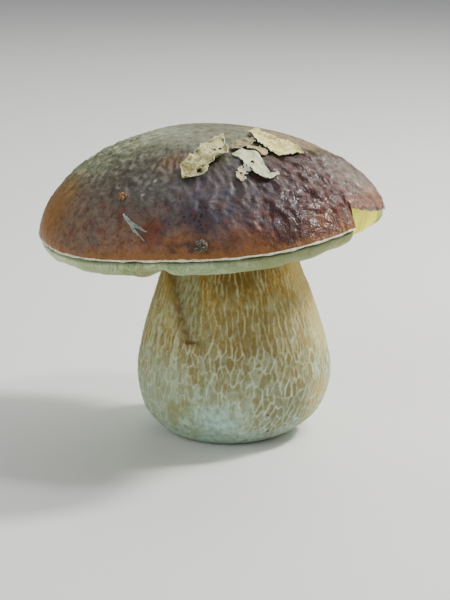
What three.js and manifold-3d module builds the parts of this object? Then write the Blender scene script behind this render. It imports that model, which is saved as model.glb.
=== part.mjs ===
// A porcini mushroom as picked, standing on the cut end of its thick stem, with dry leaf litter stuck to the cap.
// Millimetres, +Z up. The origin is the centre of the cut at the foot; -Y is the front and +X the bitten side.

import * as THREE from "three";
import { mergeVertices } from "three/addons/utils/BufferGeometryUtils.js";
import Module from "manifold-3d";

const wasm = await Module();
wasm.setup();

// Driving dimensions of the cap. It leans: its right side stands higher than its left.
const CAP_WIDTH = 128;
const CAP_DEPTH = 124;
const CAP_HEIGHT = 34.4;
const CAP_CENTRE = new THREE.Vector2(-6.4, 0);
const CAP_TILT = THREE.MathUtils.degToRad(4.6);
const RIM_HEIGHT = 81.4;
const SHOULDER = 0.61; // power of the dome's curve: lower is fuller
const SHOULDER_SKEW = 0.066; // the right side slopes more than the left
const DOME_LEAN = 4.4; // how much fuller the dome is towards the left
const RIM_WOBBLE = 0.45;
const LIP = 1.2; // thickness of the thin white edge of the skin
const LUMP_SIZE = 19;
const LUMP_HEIGHT = 0.8;
const WRINKLE_SIZE = 9;
const WRINKLE_HEIGHT = 0.9;
const CAP_COLUMNS = 72;
const DOME_RINGS = 14;

// The tubes fill the cap's underside: their upper ends meet the flesh and their lower ends are the pores.
const TUBE_RISE = 8; // how far the tubes reach up into the cap
const TUBE_DROP = 7; // how far they hang below the rim
const TUBE_EDGE = 10; // width of the rounded outer edge
const TUBE_BULGE = 1.2;
const TUBE_COLUMNS = 64;
const CREASE_ANGLE = THREE.MathUtils.degToRad(-107);
const CREASE_DEPTH = 2;
const TUBE_WEAR = 3; // how much shorter the tubes are behind the bite

// The stem, from the cut at the foot to the cap's flesh: radius and height.
const STEM_TOP = RIM_HEIGHT + TUBE_RISE;
const STEM_OUTLINE = [
  [19.5, 0],
  [23.5, 0.9],
  [28.5, 4.8],
  [33.4, 11],
  [36, 22.5],
  [34.4, 36],
  [30.4, 50.5],
  [26, 63],
  [23.6, 73],
  [23.4, STEM_TOP],
];
const STEM_BOW = 2.4; // sideways bow of the belly
const STEM_COLUMNS = 84;
const NET_ROWS = 18;
const NET_TOP = 0.8; // share of the outline's length that the net covers
const NET_HEIGHT = 1; // height of the raised net over the floors of its meshes
const NET_FLOOR = 0.62; // size of a mesh's floor, as a share of the mesh
const NET_JITTER = 0.4;
const PLAIN_RINGS = 3;

// The bite in the margin on the right, where the tubes show: half-sizes outwards, along the rim and up.
const BITE_ANGLE = THREE.MathUtils.degToRad(-18);
const BITE_TURN = THREE.MathUtils.degToRad(-26); // the way that the torn wall faces
const BITE_SIZE = new THREE.Vector3(10, 18.7, 4.6);
const BITE_DEPTH = 6.2;
const BITE_FALL = 14; // how much further the tubes' own tear reaches down

// Dry litter stuck to the skin. Each leaf has a midline of points seen from above: x, y and half its width.
const LEAF_THICKNESS = 0.9;
const LEAF_CLEARANCE = 0.55; // least height over the skin
const LEAVES = {
  leaf_left: {
    midline: [
      [-12.4, -43, 3.6],
      [-10.8, -38, 5.4],
      [-8.8, -34, 6],
      [-5.9, -30, 5.6],
      [-4.3, -26, 5],
      [-3.5, -22, 3.9],
      [-2.2, -16, 0.8],
    ],
    curl: 1.6,
    color: 0xc9bd92,
  },
  leaf_middle: {
    midline: [
      [8.4, -15.8, 0.6],
      [6.3, -18.2, 2],
      [4.5, -21, 2.4],
      [6.8, -23.4, 1.5],
      [12.6, -25, 0.6],
    ],
    curl: 0.5,
    color: 0x9c8f6e,
  },
  leaf_crescent: {
    midline: [
      [2.2, -29.6, 0.4],
      [6.5, -30.2, 2.8],
      [9.4, -33.6, 3.6],
      [12, -38, 2.8],
      [17.4, -36, 0.8],
    ],
    curl: 1.2,
    color: 0xd6cba6,
  },
  leaf_right: {
    midline: [
      [7.6, -8.6, 1],
      [11.6, -11.4, 3.2],
      [15.8, -14.4, 4.6],
      [20, -16.4, 4.8],
      [23.6, -16, 3.6],
      [27, -17.4, 0.5],
    ],
    curl: 1.5,
    color: 0xe0d6a8,
  },
  leaf_scrap: {
    midline: [
      [2.9, -39.4, 0.5],
      [3.8, -41.4, 1.4],
      [5.4, -43.8, 0.5],
    ],
    curl: 0.4,
    color: 0xb08a54,
  },
  dry_husk: {
    midline: [
      [-36.4, -47.2, 0.5],
      [-33.4, -51, 0.8],
      [-30.4, -54, 1.5],
      [-28.6, -56.4, 0.5],
    ],
    curl: 0.6,
    color: 0xb9b6b0,
  },
};
const LEAF_STEPS = 9;
const LEAF_STRIPS = 4;

// Crumbs: where each lies, seen from above, and its radius
const CRUMBS = {
  soil_crumb: { place: [-9.2, -60.6], radius: 2.2, color: 0x4a3f2c },
  bark_crumb: { place: [-37.3, -40.6], radius: 1.4, color: 0xc28a4e },
};

const GAP = 0.3; // clearance kept between pieces
const SEED = 7;

// Seeded noise

function hash(i, j) {
  const value = Math.sin(i * 12.9898 + j * 78.233 + SEED) * 43758.5453;
  return value - Math.floor(value);
}

function smooth(f) {
  return f * f * (3 - 2 * f);
}

// Value noise from -1 to 1, with a lump for each unit of x and y
function noise(x, y) {
  const i = Math.floor(x);
  const j = Math.floor(y);
  const u = smooth(x - i);
  const low = THREE.MathUtils.lerp(hash(i, j), hash(i + 1, j), u);
  const high = THREE.MathUtils.lerp(hash(i, j + 1), hash(i + 1, j + 1), u);
  return 2 * THREE.MathUtils.lerp(low, high, smooth(y - j)) - 1;
}

// A bell of height 1 round the circle, at its highest where angle is centre
function bell(angle, centre, width) {
  const off = Math.atan2(Math.sin(angle - centre), Math.cos(angle - centre));
  return Math.exp(-((off / width) ** 2));
}

// Meshes and solids

// Rings of points that run the same way round, joined from a lower pole to an upper one. The diagonals
// alternate from column to column, which suits rings whose odd points stand half a step further on.
function closedLoft(lowerPole, rings, upperPole) {
  const points = [lowerPole, ...rings.flat(), upperPole];
  return new THREE.BufferGeometry()
    .setFromPoints(points)
    .setIndex(loftFaces(rings.length, rings[0].length));
}

function loftIndex(ring, column, columns) {
  return 1 + ring * columns + (column % columns);
}

function loftFaces(ringCount, columns) {
  const at = (ring, column) => loftIndex(ring, column, columns);
  const upperPole = 1 + ringCount * columns;
  const faces = [];
  for (let column = 0; column < columns; column++) {
    faces.push(0, at(0, column + 1), at(0, column));
    for (let ring = 0; ring < ringCount - 1; ring++) {
      const a = at(ring, column);
      const b = at(ring, column + 1);
      const c = at(ring + 1, column + 1);
      const d = at(ring + 1, column);
      faces.push(...(column % 2 ? [a, b, c, a, c, d] : [a, b, d, b, c, d]));
    }
    faces.push(at(ringCount - 1, column), at(ringCount - 1, column + 1), upperPole);
  }
  return faces;
}

function solidOf(geometry) {
  const bare = geometry.clone();
  bare.deleteAttribute("normal");
  bare.deleteAttribute("uv");
  const merged = mergeVertices(bare, 1e-4);
  return new wasm.Manifold(
    new wasm.Mesh({
      numProp: 3,
      vertProperties: merged.attributes.position.array,
      triVerts: new Uint32Array(merged.index.array),
    }),
  );
}

function geometryOf(solid) {
  const { vertProperties, triVerts } = solid.getMesh();
  return new THREE.BufferGeometry()
    .setAttribute("position", new THREE.BufferAttribute(vertProperties, 3))
    .setIndex(new THREE.BufferAttribute(triVerts, 1));
}

function ringOf(columns, pointAt) {
  return Array.from({ length: columns }, (_, column) =>
    pointAt((2 * Math.PI * column) / columns, column),
  );
}

// The cap's plan: share is the part of the way from its centre to its rim

function rimRadius(angle) {
  const straight = Math.hypot(
    Math.cos(angle) / (CAP_WIDTH / 2),
    Math.sin(angle) / (CAP_DEPTH / 2),
  );
  const ripple = 0.006 * Math.sin(3 * angle + 1) + 0.004 * Math.sin(7 * angle);
  return (1 + ripple) / straight;
}

function rimRipple(angle) {
  return RIM_WOBBLE * (Math.sin(3 * angle + 3.2) + 1.2 * Math.sin(5 * angle + 4.2));
}

// A point over the cap's plan at a height over the leaning plane of the rim
function capPoint(share, angle, height) {
  const reach = share * rimRadius(angle);
  const x = CAP_CENTRE.x + reach * Math.cos(angle);
  const y = CAP_CENTRE.y + reach * Math.sin(angle);
  const lean = x * Math.tan(CAP_TILT) + share ** 3 * rimRipple(angle);
  return new THREE.Vector3(x, y, RIM_HEIGHT + lean + height);
}

// Height of the flesh's underside, where the tubes begin
function fleshLevel(share) {
  return TUBE_RISE * Math.pow(1 - share ** 6, 0.6);
}

function domeLevel(share, angle) {
  const power = SHOULDER + SHOULDER_SKEW * Math.cos(angle);
  const lean = DOME_LEAN * share * Math.cos(angle) * (1 - share * share);
  return CAP_HEIGHT * Math.pow(1 - share * share, power) - lean;
}

// Lumps all over and coarse wrinkles on the right, gone at the rim
function skinRelief(x, y, share, angle) {
  const lumps = LUMP_HEIGHT * noise(x / LUMP_SIZE, y / LUMP_SIZE);
  const side = 0.2 + 0.8 * smooth(0.5 + 0.5 * Math.cos(angle + 0.2));
  const wrinkles = WRINKLE_HEIGHT * side * share * noise(x / WRINKLE_SIZE, y / WRINKLE_SIZE);
  return (lumps + wrinkles) * (1 - share ** 6);
}

function skinPoint(share, angle) {
  const point = capPoint(share, angle, domeLevel(share, angle));
  point.z += skinRelief(point.x, point.y, share, angle);
  return point;
}

// Brown skin and white flesh, thick in the middle, drawn down to a thin white lip at the rim
function capSolid() {
  const under = [0.25, 0.5, 0.7, 0.82, 0.9, 0.95].map((share) => [
    share,
    fleshLevel(share) + GAP,
  ]);
  const lip = [
    [0.974, -0.7 * LIP],
    [0.992, -LIP],
    [1.003, -0.5 * LIP],
  ];
  const rings = [...under, ...lip].map(([share, level]) =>
    ringOf(CAP_COLUMNS, (angle) => capPoint(share, angle, level)),
  );
  for (let ring = DOME_RINGS; ring > 0; ring--) {
    const share = Math.sin((Math.PI / 2) * (ring / DOME_RINGS));
    rings.push(ringOf(CAP_COLUMNS, (angle) => skinPoint(share, angle)));
  }
  const lowerPole = capPoint(0, 0, fleshLevel(0) + GAP);
  return solidOf(closedLoft(lowerPole, rings, skinPoint(0, 0)));
}

// Where a point seen from above lies on the skin
function skinOver(x, y) {
  const angle = Math.atan2(y - CAP_CENTRE.y, x - CAP_CENTRE.x);
  const reach = Math.hypot(x - CAP_CENTRE.x, y - CAP_CENTRE.y);
  return skinPoint(Math.min(0.995, reach / rimRadius(angle)), angle);
}

// The stem

const stemOutline = new THREE.SplineCurve(
  STEM_OUTLINE.map(([radius, height]) => new THREE.Vector2(radius, height)),
);

// A point of the stem's side, at a share of the outline's length, sunk below the tops of the net
function stemPoint(share, angle, sunk) {
  const outline = stemOutline.getPointAt(share);
  const height = outline.y;
  const lump = 0.7 * noise(2.2 * Math.cos(angle) + height / 25, 2.2 * Math.sin(angle) + 9);
  const radius = outline.x + lump * Math.min(1, height / 9) - sunk;
  const bow = STEM_BOW * Math.sin(Math.PI * (height / STEM_TOP) ** 0.7);
  const x = bow + radius * Math.cos(angle);
  const lean = x * Math.tan(CAP_TILT) * (height / STEM_TOP) ** 6;
  return new THREE.Vector3(x, radius * Math.sin(angle), height + lean);
}

// A jittered point of the net's lattice, whose odd columns stand half a row higher and whose rows spread
// towards the top. Where it is sunk, it is less so towards the foot and the top.
function netPoint(column, row, isSunk) {
  const jitter = (salt) => NET_JITTER * (hash(column + salt, row) - 0.5);
  const step = row + (column % 2) / 2 + jitter(11);
  const along = Math.max(0, step / (NET_ROWS + 0.5));
  const angle = (2 * Math.PI * (column + jitter(53))) / STEM_COLUMNS;
  const fade = Math.min(1, 3 * along, 4 * (1 - along));
  const share = NET_TOP * along * (0.7 + 0.3 * along);
  return stemPoint(share, angle, isSunk ? NET_HEIGHT * fade : 0);
}

// Every third point of the lattice is the middle of a mesh, among six points of the net
function isMeshMiddle(column, row) {
  return (column + Math.floor(column / 2) - row + 300) % 3 === 0;
}

// The stem's surface as one loft, with each mesh of the net sunk inside its six sides
function stemSolid() {
  const rings = [ringOf(STEM_COLUMNS, (angle) => stemPoint(0, angle, 0))];
  const sunk = new Map();
  for (let row = 1; row < NET_ROWS; row++) {
    rings.push(ringOf(STEM_COLUMNS, (_, column) => netPoint(column, row, false)));
    for (let column = 0; column < STEM_COLUMNS; column++) {
      const point = netPoint(column, row, true);
      sunk.set(loftIndex(row, column, STEM_COLUMNS), point);
    }
  }
  const middles = new Set(
    [...sunk.keys()].filter((index) =>
      isMeshMiddle((index - 1) % STEM_COLUMNS, Math.floor((index - 1) / STEM_COLUMNS)),
    ),
  );
  for (let ring = 1; ring <= PLAIN_RINGS; ring++) {
    const share = THREE.MathUtils.lerp(NET_TOP, 1, ring / PLAIN_RINGS);
    rings.push(ringOf(STEM_COLUMNS, (angle) => stemPoint(share, angle, 0)));
  }
  const points = [new THREE.Vector3(), ...rings.flat(), new THREE.Vector3(0, 0, STEM_TOP)];
  const faces = sinkMeshes(points, loftFaces(rings.length, STEM_COLUMNS), sunk, middles);
  return solidOf(new THREE.BufferGeometry().setFromPoints(points).setIndex(faces));
}

// Faces that meet at a mesh's middle are replaced by a smaller sunk floor and sides that rise to the net
function sinkMeshes(points, faces, sunk, middles) {
  const floorPoints = new Map();
  const floorPoint = (middle, corner) => {
    const key = `${middle} ${corner}`;
    if (!floorPoints.has(key)) {
      const below = sunk.get(corner) ?? points[corner];
      points.push(sunk.get(middle).clone().lerp(below, NET_FLOOR));
      floorPoints.set(key, points.length - 1);
    }
    return floorPoints.get(key);
  };
  const sunkFaces = [];
  for (let i = 0; i < faces.length; i += 3) {
    const face = faces.slice(i, i + 3);
    const turn = face.findIndex((point) => middles.has(point));
    if (turn < 0) {
      sunkFaces.push(...face);
      continue;
    }
    const [middle, b, c] = [0, 1, 2].map((step) => face[(turn + step) % 3]);
    const [low, next] = [floorPoint(middle, b), floorPoint(middle, c)];
    sunkFaces.push(middle, low, next, low, b, c, low, c, next);
  }
  for (const middle of middles) points[middle].copy(sunk.get(middle));
  return sunkFaces;
}

// The stem's neck with clearance round it, run past its top, which the tubes are cut to fit
function neckRoom() {
  const rings = [0.55, 0.65, 0.75, 0.85, 0.95, 1].map((share) =>
    ringOf(STEM_COLUMNS, (angle) => stemPoint(share, angle, -GAP)),
  );
  rings.push(rings.at(-1).map((point) => point.clone().setZ(point.z + 4)));
  const centre = (ring) => new THREE.Vector3(0, 0, ring[0].z);
  return solidOf(closedLoft(centre(rings[0]), rings, centre(rings.at(-1))));
}

// The tubes

// Height of the mouths of the pores, which bulge a little and draw up round the stem and at the crease
function poreLevel(share, angle) {
  const radius = share * rimRadius(angle);
  const fromStem = Math.max(0, radius - 24) / 5;
  const hollow = 4 * Math.exp(-fromStem * fromStem);
  const crease = CREASE_DEPTH * share ** 3 * bell(angle, CREASE_ANGLE, 0.06);
  const fold = 0.8 * share ** 3 * bell(angle, CREASE_ANGLE - 0.14, 0.08);
  const worn = TUBE_WEAR * share ** 4 * bell(angle, BITE_ANGLE, 0.45);
  const bulge = TUBE_BULGE * Math.sin(Math.PI * Math.min(1, share));
  return hollow + crease + worn - fold - bulge - TUBE_DROP;
}

// The layer of tubes: pores below, a rounded outer edge under the lip, and the top that meets the flesh
function tubeSolid() {
  const edgeShare = 1 - TUBE_EDGE / (CAP_WIDTH / 2);
  const rings = [0.3, 0.45, 0.55, 0.65, 0.75, edgeShare].map((share) =>
    ringOf(TUBE_COLUMNS, (angle) => capPoint(share, angle, poreLevel(share, angle))),
  );
  const upper = -LIP - GAP;
  for (const turn of [0.28, 0.54, 0.78, 1]) {
    const across = Math.sin((Math.PI / 2) * turn);
    const down = Math.cos((Math.PI / 2) * turn);
    rings.push(
      ringOf(TUBE_COLUMNS, (angle) => {
        const pinch = 0.02 * bell(angle, CREASE_ANGLE, 0.05);
        const share = THREE.MathUtils.lerp(edgeShare, 0.988, across) - pinch;
        const level = THREE.MathUtils.lerp(upper, poreLevel(edgeShare, angle), down);
        return capPoint(share, angle, level);
      }),
    );
  }
  for (const share of [0.966, 0.944, 0.89, 0.8, 0.6, 0.3]) {
    const level = share > 0.96 ? upper : fleshLevel(share) - GAP;
    rings.push(ringOf(TUBE_COLUMNS, (angle) => capPoint(share, angle, level)));
  }
  const body = closedLoft(
    capPoint(0, 0, -TUBE_DROP),
    rings,
    capPoint(0, 0, fleshLevel(0) - GAP),
  );
  return solidOf(body).subtract(neckRoom());
}

// What the bite took away: a rounded block with a rough surface, set into the rim
function biteSolid(fall) {
  const geometry = new THREE.SphereGeometry(1, 32, 24);
  const place = geometry.attributes.position;
  const size = BITE_SIZE.clone().setZ(BITE_SIZE.z + fall);
  const point = new THREE.Vector3();
  for (let i = 0; i < place.count; i++) {
    point.fromBufferAttribute(place, i);
    const bulk = point.x ** 8 + point.y ** 8 + point.z ** 8;
    point.multiplyScalar(bulk ** -0.125).multiply(size);
    point.multiplyScalar(1 + 0.03 * noise(point.y / 4, point.z / 4));
    place.setXYZ(i, point.x, point.y, point.z);
  }
  const wall = capPoint(1 - BITE_DEPTH / rimRadius(BITE_ANGLE), BITE_ANGLE, 0);
  const outwards = new THREE.Vector2(Math.cos(BITE_TURN), Math.sin(BITE_TURN));
  const centre = outwards.multiplyScalar(BITE_SIZE.x).add(wall);
  geometry.rotateZ(BITE_TURN);
  geometry.translate(centre.x, centre.y, wall.z - fall);
  return solidOf(geometry);
}

// The litter

// A thin curled blade along its midline, the same on both faces, over the skin
function leafSolid({ midline, curl }) {
  const path = new THREE.CatmullRomCurve3(midline.map((point) => new THREE.Vector3(...point)));
  const top = [];
  for (let step = 0; step <= LEAF_STEPS; step++) {
    const { x, y, z: halfWidth } = path.getPointAt(step / LEAF_STEPS);
    const along = path.getTangentAt(step / LEAF_STEPS).setZ(0).normalize();
    for (let strip = 0; strip <= LEAF_STRIPS; strip++) {
      const across = (2 * strip) / LEAF_STRIPS - 1;
      const ragged = 1 + 0.12 * noise(step * 1.7 + x, 3 * Math.sign(across));
      const reach = Math.max(0.4, halfWidth) * across * ragged;
      const point = skinOver(x - along.y * reach, y + along.x * reach);
      const wave = curl * (0.5 + 0.5 * noise(point.x / 5, point.y / 5)) * across * across;
      top.push(point.setZ(point.z + LEAF_CLEARANCE + LEAF_THICKNESS + wave));
    }
  }
  const under = top.map((point) => point.clone().setZ(point.z - LEAF_THICKNESS));
  return solidOf(bladeGeometry(top, under, LEAF_STRIPS + 1));
}

// Two like sheets of points, a given number to each row, closed round their edge
function bladeGeometry(top, under, width) {
  const faces = [];
  const rows = top.length / width;
  const low = top.length;
  for (let row = 0; row < rows - 1; row++) {
    for (let column = 0; column < width - 1; column++) {
      const a = row * width + column;
      const [b, c, d] = [a + 1, a + width + 1, a + width];
      faces.push(a, c, b, a, d, c);
      faces.push(low + a, low + b, low + c, low + a, low + c, low + d);
    }
  }
  for (const [from, to] of edgeOf(rows, width)) {
    faces.push(from, to, low + to, from, low + to, low + from);
  }
  return new THREE.BufferGeometry().setFromPoints([...top, ...under]).setIndex(faces);
}

// Neighbouring points along the edge of a sheet, in order round it
function edgeOf(rows, width) {
  const round = [];
  for (let column = 0; column < width - 1; column++) round.push(column);
  for (let row = 0; row < rows - 1; row++) round.push(row * width + width - 1);
  for (let column = width - 1; column > 0; column--) round.push((rows - 1) * width + column);
  for (let row = rows - 1; row > 0; row--) round.push(row * width);
  return round.map((point, i) => [point, round[(i + 1) % round.length]]);
}

// A lumpy ball that touches the skin at a point seen from above
function crumbSolid({ place, radius }) {
  const [x, y] = place;
  const base = skinOver(x, y);
  const east = skinOver(x + 0.5, y).sub(base);
  const north = skinOver(x, y + 0.5).sub(base);
  const outwards = east.cross(north).normalize();
  const geometry = new THREE.IcosahedronGeometry(radius, 2);
  const corner = geometry.attributes.position;
  const point = new THREE.Vector3();
  for (let i = 0; i < corner.count; i++) {
    point.fromBufferAttribute(corner, i);
    point.multiplyScalar(0.9 + 0.1 * noise(point.x * 2 + point.z, point.y * 2 - point.z));
    corner.setXYZ(i, point.x, point.y, point.z);
  }
  base.addScaledVector(outwards, radius + GAP);
  return solidOf(geometry.translate(base.x, base.y, base.z));
}

// The finished object

const group = new THREE.Group();

function addPiece(name, geometry, color, roughness) {
  const material = new THREE.MeshStandardMaterial({ color, roughness, metalness: 0 });
  const piece = new THREE.Mesh(geometry, material);
  piece.name = name;
  group.add(piece);
}

addPiece("cap", geometryOf(capSolid().subtract(biteSolid(0))), 0x6b4a38, 0.35);
addPiece("tube_layer", geometryOf(tubeSolid().subtract(biteSolid(BITE_FALL))), 0xaeb188, 0.7);
addPiece("stem", geometryOf(stemSolid()), 0xc4b48c, 0.75);
for (const [name, leaf] of Object.entries(LEAVES)) {
  addPiece(name, geometryOf(leafSolid(leaf)), leaf.color, 0.8);
}
for (const [name, crumb] of Object.entries(CRUMBS)) {
  addPiece(name, geometryOf(crumbSolid(crumb)), crumb.color, 0.9);
}

export default group;
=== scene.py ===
import math

import bmesh
import bpy
import numpy as np
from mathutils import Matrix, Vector, noise


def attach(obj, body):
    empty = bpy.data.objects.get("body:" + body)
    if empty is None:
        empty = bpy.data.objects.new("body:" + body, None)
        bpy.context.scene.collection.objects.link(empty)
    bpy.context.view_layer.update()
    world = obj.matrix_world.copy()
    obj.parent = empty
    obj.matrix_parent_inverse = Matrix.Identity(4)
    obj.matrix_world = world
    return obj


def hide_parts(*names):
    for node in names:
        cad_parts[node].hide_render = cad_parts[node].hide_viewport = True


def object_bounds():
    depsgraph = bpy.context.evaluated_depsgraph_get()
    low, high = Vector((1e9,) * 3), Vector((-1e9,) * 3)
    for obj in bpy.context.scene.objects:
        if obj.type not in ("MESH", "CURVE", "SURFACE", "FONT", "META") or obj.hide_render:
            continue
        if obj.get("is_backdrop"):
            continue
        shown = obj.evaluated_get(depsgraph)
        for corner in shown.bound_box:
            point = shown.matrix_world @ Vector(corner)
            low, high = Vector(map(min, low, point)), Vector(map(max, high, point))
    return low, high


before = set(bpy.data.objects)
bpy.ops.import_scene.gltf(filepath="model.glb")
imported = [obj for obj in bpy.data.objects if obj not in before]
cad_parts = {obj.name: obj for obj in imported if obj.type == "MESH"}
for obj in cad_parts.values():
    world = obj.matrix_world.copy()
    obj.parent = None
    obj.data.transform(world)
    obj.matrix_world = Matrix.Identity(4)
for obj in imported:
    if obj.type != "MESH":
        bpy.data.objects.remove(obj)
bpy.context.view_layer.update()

# The camera stands a step away and a little above the cap, looking slightly down, as a person crouching
# before the mushroom would. The floor is a plain pale table, with lamps above it.
MM = 0.001
CAMERA_RISE = math.radians(15)
CAMERA_DISTANCE = 700 * MM
CAMERA_TARGET = Vector((-1.1, 0, 49.6)) * MM
LENS = 111.8


def add_object(name, data):
    made = bpy.data.objects.new(name, data)
    bpy.context.scene.collection.objects.link(made)
    return made


back = Vector((0, -math.cos(CAMERA_RISE), math.sin(CAMERA_RISE)))
camera_data = bpy.data.cameras.new("camera")
camera_data.lens = LENS
camera = add_object("camera", camera_data)
camera.location = CAMERA_TARGET + back * CAMERA_DISTANCE
camera.rotation_euler = back.to_track_quat("Z", "Y").to_euler()
bpy.context.scene.camera = camera

world = bpy.data.worlds.new("studio")
world.use_nodes = True
world.node_tree.nodes["Background"].inputs["Color"].default_value = (0.93, 0.96, 1, 1)
world.node_tree.nodes["Background"].inputs["Strength"].default_value = 0.31
bpy.context.scene.world = world


def add_lamp(name, azimuth, rise, distance, size, power, color):
    """A square lamp that faces the mushroom; azimuth 0 is the camera's side and 90 the right."""
    turn, rise = math.radians(azimuth), math.radians(rise)
    towards = Vector((
        math.sin(turn) * math.cos(rise), -math.cos(turn) * math.cos(rise), math.sin(rise),
    ))
    data = bpy.data.lights.new(name, "AREA")
    data.size = size
    data.energy = power
    data.color = color
    lamp = add_object(name, data)
    lamp.location = Vector((0, 0, 60)) * MM + towards * distance
    lamp.rotation_euler = towards.to_track_quat("Z", "Y").to_euler()


# The two small lamps on the right make the glints on the wet skin
add_lamp("back_lamp", azimuth=165, rise=48, distance=1.1, size=1.1, power=6.5, color=(0.97, 1, 0.95))
add_lamp("top_lamp", azimuth=88, rise=62, distance=1, size=0.12, power=3.6, color=(0.97, 0.98, 1))
add_lamp("right_lamp", azimuth=110, rise=44, distance=0.9, size=0.12, power=10, color=(1, 0.98, 0.95))
add_lamp("front_lamp", azimuth=-48, rise=26, distance=1.1, size=0.8, power=4.4, color=(0.94, 1, 0.96))
add_lamp("side_lamp", azimuth=106, rise=14, distance=1, size=0.4, power=2.2, color=(1, 0.96, 0.82))

floor_bm = bmesh.new()
bmesh.ops.create_grid(floor_bm, x_segments=1, y_segments=1, size=6)
floor_mesh = bpy.data.meshes.new("floor")
floor_bm.to_mesh(floor_mesh)
floor_bm.free()
floor = add_object("floor", floor_mesh)
floor_material = bpy.data.materials.new("pale_table")
floor_material.use_nodes = True
floor_shader = floor_material.node_tree.nodes["Principled BSDF"]
floor_shader.inputs["Base Color"].default_value = (0.8, 0.79, 0.77, 1)
floor_shader.inputs["Roughness"].default_value = 0.7
floor_mesh.materials.append(floor_material)
floor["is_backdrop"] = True


# The cap: one dome of firm flesh under a thin brown skin, leaning so that its right side stands higher.
# It grew up through leaf litter, so its skin is leathery on the left and wet and crumpled on the right,
# and it ends in a thin white edge. Something has bitten a piece out of the right margin.
CAP_WIDTH = 128
CAP_DEPTH = 124
CAP_HEIGHT = 34.4
CAP_CENTRE = -6.4
CAP_LEAN = math.tan(math.radians(4.6))
RIM_HEIGHT = 81.4
SHOULDER = 0.61
SHOULDER_SKEW = 0.066
DOME_LEAN = 4.4
RIM_WOBBLE = 0.45
LIP = 1.2
LUMP_SIZE = 19
LUMP_HEIGHT = 0.8
GAP = 0.3
TUBE_RISE = 8
SEED = 7
ROUND_STEPS = 480
DOME_RINGS = 130
BITE_ANGLE = math.radians(-18)
BITE_TURN = math.radians(-26)
BITE_HALF_WIDTH = 17.8
BITE_RISE = 7.7
BITE_FADE = 11
BITE_LEAST = 0.8
BITE_DEPTH = 6.2
BITE_CORNER = 1.1
ROOF_SLOPE = 0.0058
WALL_INSET = 0.02
ROLL_HEIGHT = 0.9
FRAY = 0.003
FLOW_RADIUS = 46
LEATHER_HEIGHT = 1.05
CRUMPLE_HEIGHT = 0.62
FOLD_HEIGHT = 0.95
LEATHER_SIDE = math.radians(-172)
BACK_SIDE = math.radians(110)
WET_SIDE = math.radians(-30)
DIMPLES = [(9.2, -56, 1.9, 0.6), (12.6, -56.3, 1.6, 0.7), (10.9, -55.4, 1, -0.5), (-26, -55.8, 2.4, 0.5)]


def hash_value(i, j):
    value = np.sin(i * 12.9898 + j * 78.233 + SEED) * 43758.5453
    return value - np.floor(value)


def eased(f):
    f = np.clip(f, 0, 1)
    return f * f * (3 - 2 * f)


def lump_noise(x, y):
    """Value noise from -1 to 1, with a lump for each unit of x and y."""
    i, j = np.floor(x), np.floor(y)
    u, v = eased(x - i), eased(y - j)
    low = hash_value(i, j) * (1 - u) + hash_value(i + 1, j) * u
    high = hash_value(i, j + 1) * (1 - u) + hash_value(i + 1, j + 1) * u
    return 2 * (low * (1 - v) + high * v) - 1


def fine_noise(points, size, octaves=1):
    """Smooth noise from about -1 to 1 at each point, with features of a size in the points' units."""
    places = (points / size).tolist()
    if octaves == 1:
        return np.array([noise.noise(place) for place in places])
    fade, step = 0.9, 2.1
    return np.array([noise.fractal(place, fade, step, octaves) for place in places])


def columns(*values):
    return np.stack(np.broadcast_arrays(*values), axis=1)


def bell(angle, centre, width):
    off = np.arctan2(np.sin(angle - centre), np.cos(angle - centre))
    return np.exp(-((off / width) ** 2))


def rim_radius(angle):
    straight = np.hypot(np.cos(angle) / (CAP_WIDTH / 2), np.sin(angle) / (CAP_DEPTH / 2))
    return (1 + 0.006 * np.sin(3 * angle + 1) + 0.004 * np.sin(7 * angle)) / straight


def cap_place(share, angle, level):
    """Points at a share of the way to the rim, at a level over the leaning plane of the rim."""
    reach = share * rim_radius(angle)
    x = CAP_CENTRE + reach * np.cos(angle)
    y = reach * np.sin(angle)
    ripple = RIM_WOBBLE * (np.sin(3 * angle + 3.2) + 1.2 * np.sin(5 * angle + 4.2))
    z = RIM_HEIGHT + x * CAP_LEAN + share ** 3 * ripple + level
    return columns(x, y, z)


def flesh_level(share):
    return TUBE_RISE * np.clip(1 - share ** 6, 0, 1) ** 0.6


def dome_level(share, angle):
    room = np.clip(1 - share * share, 0, 1)
    lean = DOME_LEAN * share * np.cos(angle) * room
    return CAP_HEIGHT * room ** (SHOULDER + SHOULDER_SKEW * np.cos(angle)) - lean


def skin_place(share, angle, frayed=0):
    """Points on the skin, moved out a little by a frayed share."""
    points = cap_place(share + frayed, angle, dome_level(share, angle))
    lumps = LUMP_HEIGHT * lump_noise(points[:, 0] / LUMP_SIZE, points[:, 1] / LUMP_SIZE)
    points[:, 2] += lumps * (1 - share ** 6)
    return points


def bite_at(angle):
    """The torn wall's share of the cap's radius, the place across the bite, and how deep in it is."""
    rim = rim_radius(angle)
    wall_reach = rim_radius(BITE_ANGLE) - BITE_DEPTH
    outwards = wall_reach * math.cos(BITE_ANGLE - BITE_TURN)
    middle = wall_reach * math.sin(BITE_ANGLE - BITE_TURN)
    facing = np.maximum(np.cos(angle - BITE_TURN), 0.2)
    reach = outwards / facing
    across = reach * np.sin(angle - BITE_TURN) - middle
    inside = eased((BITE_HALF_WIDTH - np.abs(across)) / BITE_CORNER) * (reach < rim)
    return np.minimum(reach / rim, 1), across, inside


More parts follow.
